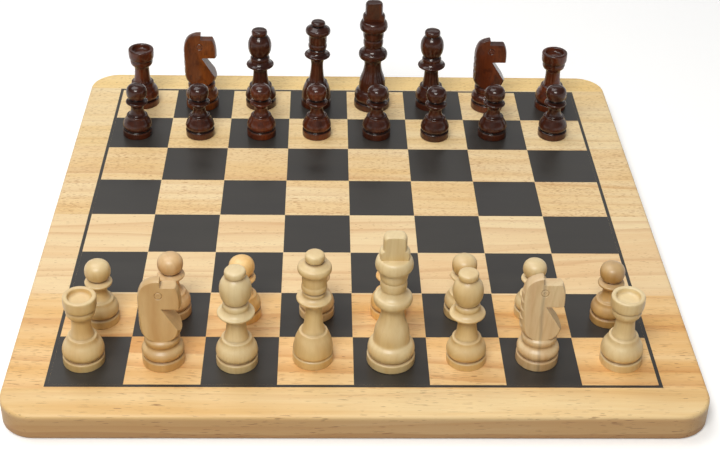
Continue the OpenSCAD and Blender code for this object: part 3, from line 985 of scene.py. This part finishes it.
blanks = {
    "light_rook_a": "straw", "light_knight_b": "tan", "light_bishop_c": "cream", "light_queen": "straw",
    "light_king": "cream", "light_bishop_f": "straw", "light_knight_g": "streaked", "light_rook_h": "cream",
    "light_pawn_a": "straw", "light_pawn_b": "rose", "light_pawn_c": "honey", "light_pawn_d": "sand",
    "light_pawn_e": "honey", "light_pawn_f": "straw", "light_pawn_g": "cream", "light_pawn_h": "amber",
    "dark_rook_a": "red", "dark_knight_b": "russet", "dark_knight_g": "red", "dark_rook_h": "red",
    "dark_pawn_c": "red", "dark_pawn_d": "red",
}  # the rest are brown

# each man's place sideways and forward from the middle of its square in mm, its size against the
# drawing, its sideways lean in degrees, from a foot that isn't sanded square, and how much it is
# drawn up in height
field = {"square": 38 * mm, "x": -1.5 * mm, "footReach": 12.3 * mm}
rows = {
    "light_back": (0, [
        ("rook_a", "rook", -2.85, 0.38, 0.99, 1.8, 1),
        ("knight_b", "longBrow", -0.76, 0.76, 1.01, 0, 1),
        ("bishop_c", "bishop", -1.71, -0.38, 1.01, 0.6, 1),
        ("queen", "queen", -1.52, 2.28, 1.005, 0.9, 1),
        ("king", "king", 0, 1.33, 0.995, 0, 1),
        ("bishop_f", "bishop", 0.38, 1.71, 0.97, -2, 1),
        ("knight_g", "shortBrow", -1.52, 2.09, 1.015, 0, 1.03),
        ("rook_h", "rook", 3.42, 1.14, 1.005, -1.3, 1),
    ]),
    "light_pawn": (1, [
        ("pawn_a", "pawn", 1.33, -3.99, 1.015, 0.9, 1),
        ("pawn_b", "pawn", 0.38, 2.09, 1.02, 0, 1),
        ("pawn_c", "pawn", -0.57, -0.19, 1.015, 0, 1),
        ("pawn_d", "pawn", 0.19, 1.9, 0.985, 0, 1),
        ("pawn_e", "pawn", 0.19, 2.09, 1.015, 0, 1),
        ("pawn_f", "pawn", 1.14, 2.85, 1, 0, 1),
        ("pawn_g", "pawn", 0, 2.28, 0.94, 0, 1),
        ("pawn_h", "pawn", 2.47, -2.09, 0.985, -1.2, 1),
    ]),
    "dark_pawn": (6, [
        ("pawn_a", "flaredPawn", -1.9, -0.76, 0.985, 2.4, 1),
        ("pawn_b", "flaredPawn", 0.38, -1.14, 0.975, 0, 1),
        ("pawn_c", "flaredPawn", 1.52, -0.57, 0.98, 0, 1),
        ("pawn_d", "flaredPawn", -0.95, -0.38, 0.98, 0, 1),
        ("pawn_e", "flaredPawn", -0.57, -0.57, 0.97, 0, 1),
        ("pawn_f", "flaredPawn", -1.14, -1.52, 0.97, 0, 1),
        ("pawn_g", "flaredPawn", -1.71, 0.19, 0.975, 0, 1),
        ("pawn_h", "flaredPawn", -0.57, 0.76, 0.98, 0, 1),
    ]),
    "dark_back": (7, [
        ("rook_a", "rook", -2.66, 2.09, 0.97, 1.3, 1),
        ("knight_b", "longBrow", -1.14, 0, 1.01, 0, 1.03),
        ("bishop_c", "bishop", -0.38, 0.76, 0.96, 0, 1),
        ("queen", "lowQueen", -1.71, 1.9, 0.96, 1.3, 1),
        ("king", "king", -2.47, 1.14, 0.965, 0, 1),
        ("bishop_f", "bishop", -1.14, 1.9, 0.965, -1, 1),
        ("knight_g", "shortBrow", -1.52, 0, 1, 0, 1),
        ("rook_h", "rook", 3.42, 1.14, 0.98, -0.8, 1),
    ]),
}

standing = 0
for row, (rank, pieces) in rows.items():
    side = row.split("_")[0]
    if side == "light":
        common, kind = lightWood, "waxed maple"
    else:
        common, kind = darkWood, "stained and lacquered maple"
    for i, (title, model, right, ahead, size, lean, tall) in enumerate(pieces):
        name = f"{side}_{title}"
        man = copyOf(models[model], "turned_" + name)
        spot = Vector((
            field["x"] + (i - 3.5) * field["square"] + right * mm,
            (rank - 3.5) * field["square"] + ahead * mm,
            boardTop,
        ))
        pick(man)
        man.scale = (size, size, size * tall)
        man.rotation_euler.y = math.radians(lean)
        man.location = spot - Vector((0, 0, field["footReach"] * math.sin(math.radians(abs(lean)))))
        bpy.ops.object.transform_apply(location=True, rotation=True, scale=True)
        if lean:  # let down by what the foot lifts on one side, and sanded flat at the board
            bisected(man, spot, (0, 0, -1))
        wood = dict(common, **tones[blanks.get(name, "brown")])
        man.data.materials.clear()
        man.data.materials.append(turnedWood(f"turned {kind}, {name}", spot, 1.7 * standing, wood))
        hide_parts(name)
        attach(man, name + "_man")
        standing += 1
for model in models.values():
    bpy.data.objects.remove(model)
print("chessmen set out:", standing)
